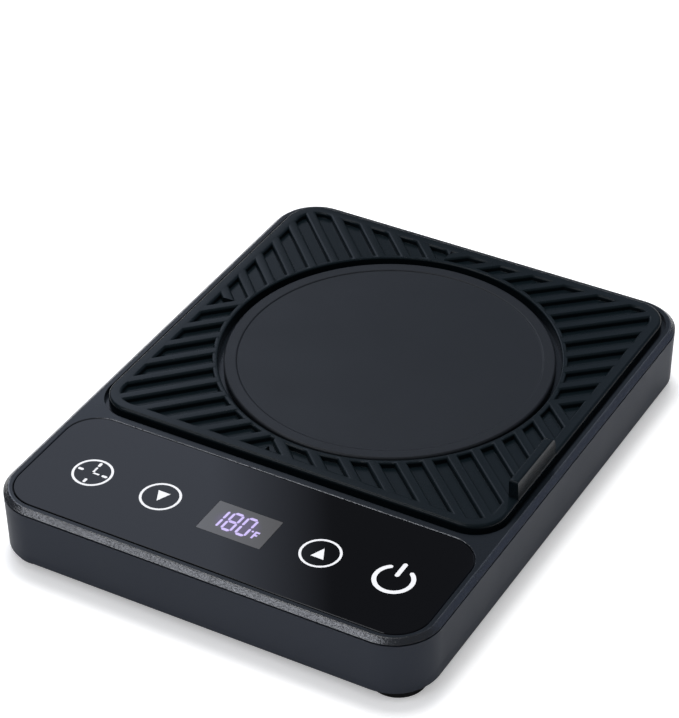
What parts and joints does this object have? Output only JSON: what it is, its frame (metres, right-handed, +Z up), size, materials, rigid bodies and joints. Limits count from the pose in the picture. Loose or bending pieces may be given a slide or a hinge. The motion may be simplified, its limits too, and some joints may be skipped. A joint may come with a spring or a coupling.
{
  "type": "electric mug warmer",
  "caption": "Flat electric mug warmer with a glass touch panel, a digit display, a round heating plate and a ribbed silicone mat that lifts out by its tab.",
  "frame": {"origin": "on the table under the middle of the housing's outline", "axes": "+Z up; -Y is the front, with the touch panel; +X is the right side, with the mat's pull tab; the depth along Y is the longest extent"},
  "size_m": [0.12, 0.155, 0.026],
  "materials": {
    "tub_abs": "fine matt moulded ABS",
    "cover_abs": "spark-textured moulded ABS, matt on the flats and brighter on the bevel",
    "panel_glass": "black back-printed glass, polished",
    "adhesive_film": "double-sided tape",
    "smoke_window": "smoke-grey clear window, polished",
    "display_block": "grey moulded display block",
    "spring_steel": "bright drawn wire",
    "circuit_board": "green solder mask over glass fibre",
    "chip_epoxy": "moulded black epoxy",
    "buzzer_case": "moulded black case",
    "screw_steel": "zinc-plated steel",
    "ribbon_film": "white flat cable film",
    "socket_nylon": "natural nylon",
    "ferrite": "sintered ferrite",
    "winding_tape": "yellow tape over the winding",
    "capacitor_sleeve": "shrunk dark blue sleeve",
    "film_box": "yellow moulded box",
    "fuse_case": "brown moulded case",
    "varistor_coat": "blue dipped epoxy",
    "sink_aluminium": "bent and cut sheet",
    "terminal_nylon": "green moulded nylon",
    "terminal_tin": "tinned brass tabs",
    "lead_silicone": "silicone-covered heater wire",
    "sensor_lead": "thin black wire and its nylon socket",
    "plate_coat": "cast aluminium with a dark satin hard coat",
    "seal_silicone": "moulded heat-proof silicone",
    "mica": "mica sheet with an etched foil track",
    "fibre_pad": "pressed mineral fibre",
    "clamp_steel": "galvanised sheet steel",
    "probe_cap": "drawn aluminium cap",
    "fuse_metal": "drawn metal can",
    "mat_silicone": "moulded black silicone, satin",
    "foot_rubber": "moulded black rubber",
    "gland_rubber": "moulded black rubber",
    "clamp_nylon": "moulded black nylon"
  },
  "bodies": {
    "housing": {"lower_tub": "tub_abs", "top_cover": "cover_abs", "panel_glass": "panel_glass", "panel_adhesive": "adhesive_film", "display_window": "smoke_window", "display_module": "display_block", "touch_springs": "spring_steel", "touch_board": "circuit_board", "touch_board_chips": "chip_epoxy", "buzzer": "buzzer_case", "touch_board_screws": "screw_steel", "ribbon_cable": "ribbon_film", "ribbon_sockets": "socket_nylon", "power_board": "circuit_board", "power_board_screws": "screw_steel", "transformer_core": "ferrite", "transformer_winding": "winding_tape", "mains_capacitor": "capacitor_sleeve", "output_capacitor": "capacitor_sleeve", "film_capacitor": "film_box", "fuse": "fuse_case", "varistor": "varistor_coat", "triac": "chip_epoxy", "triac_heat_sink": "sink_aluminium", "power_board_chips": "chip_epoxy", "mains_terminal": "terminal_nylon", "heater_terminals": "terminal_tin", "heater_leads": "lead_silicone", "heating_plate": "plate_coat", "plate_seal": "seal_silicone", "heating_element": "mica", "insulation_pad": "fibre_pad", "clamp_plate": "clamp_steel", "plate_screws": "screw_steel", "thermistor": "probe_cap", "thermistor_leads": "sensor_lead", "thermal_fuse": "fuse_metal", "thermal_fuse_clip": "clamp_steel", "rubber_feet": "foot_rubber", "housing_screws": "screw_steel", "cord_gland": "gland_rubber", "cord_clamp": "clamp_nylon", "cord_clamp_screws": "screw_steel"},
    "mat": {"silicone_mat": "mat_silicone"}
  },
  "joints": [
    {"name": "mat_lift", "type": "slide", "parent": "housing", "child": "mat", "axis": [0, 0, 1], "range_m": [0, 0.025]}
  ]
}
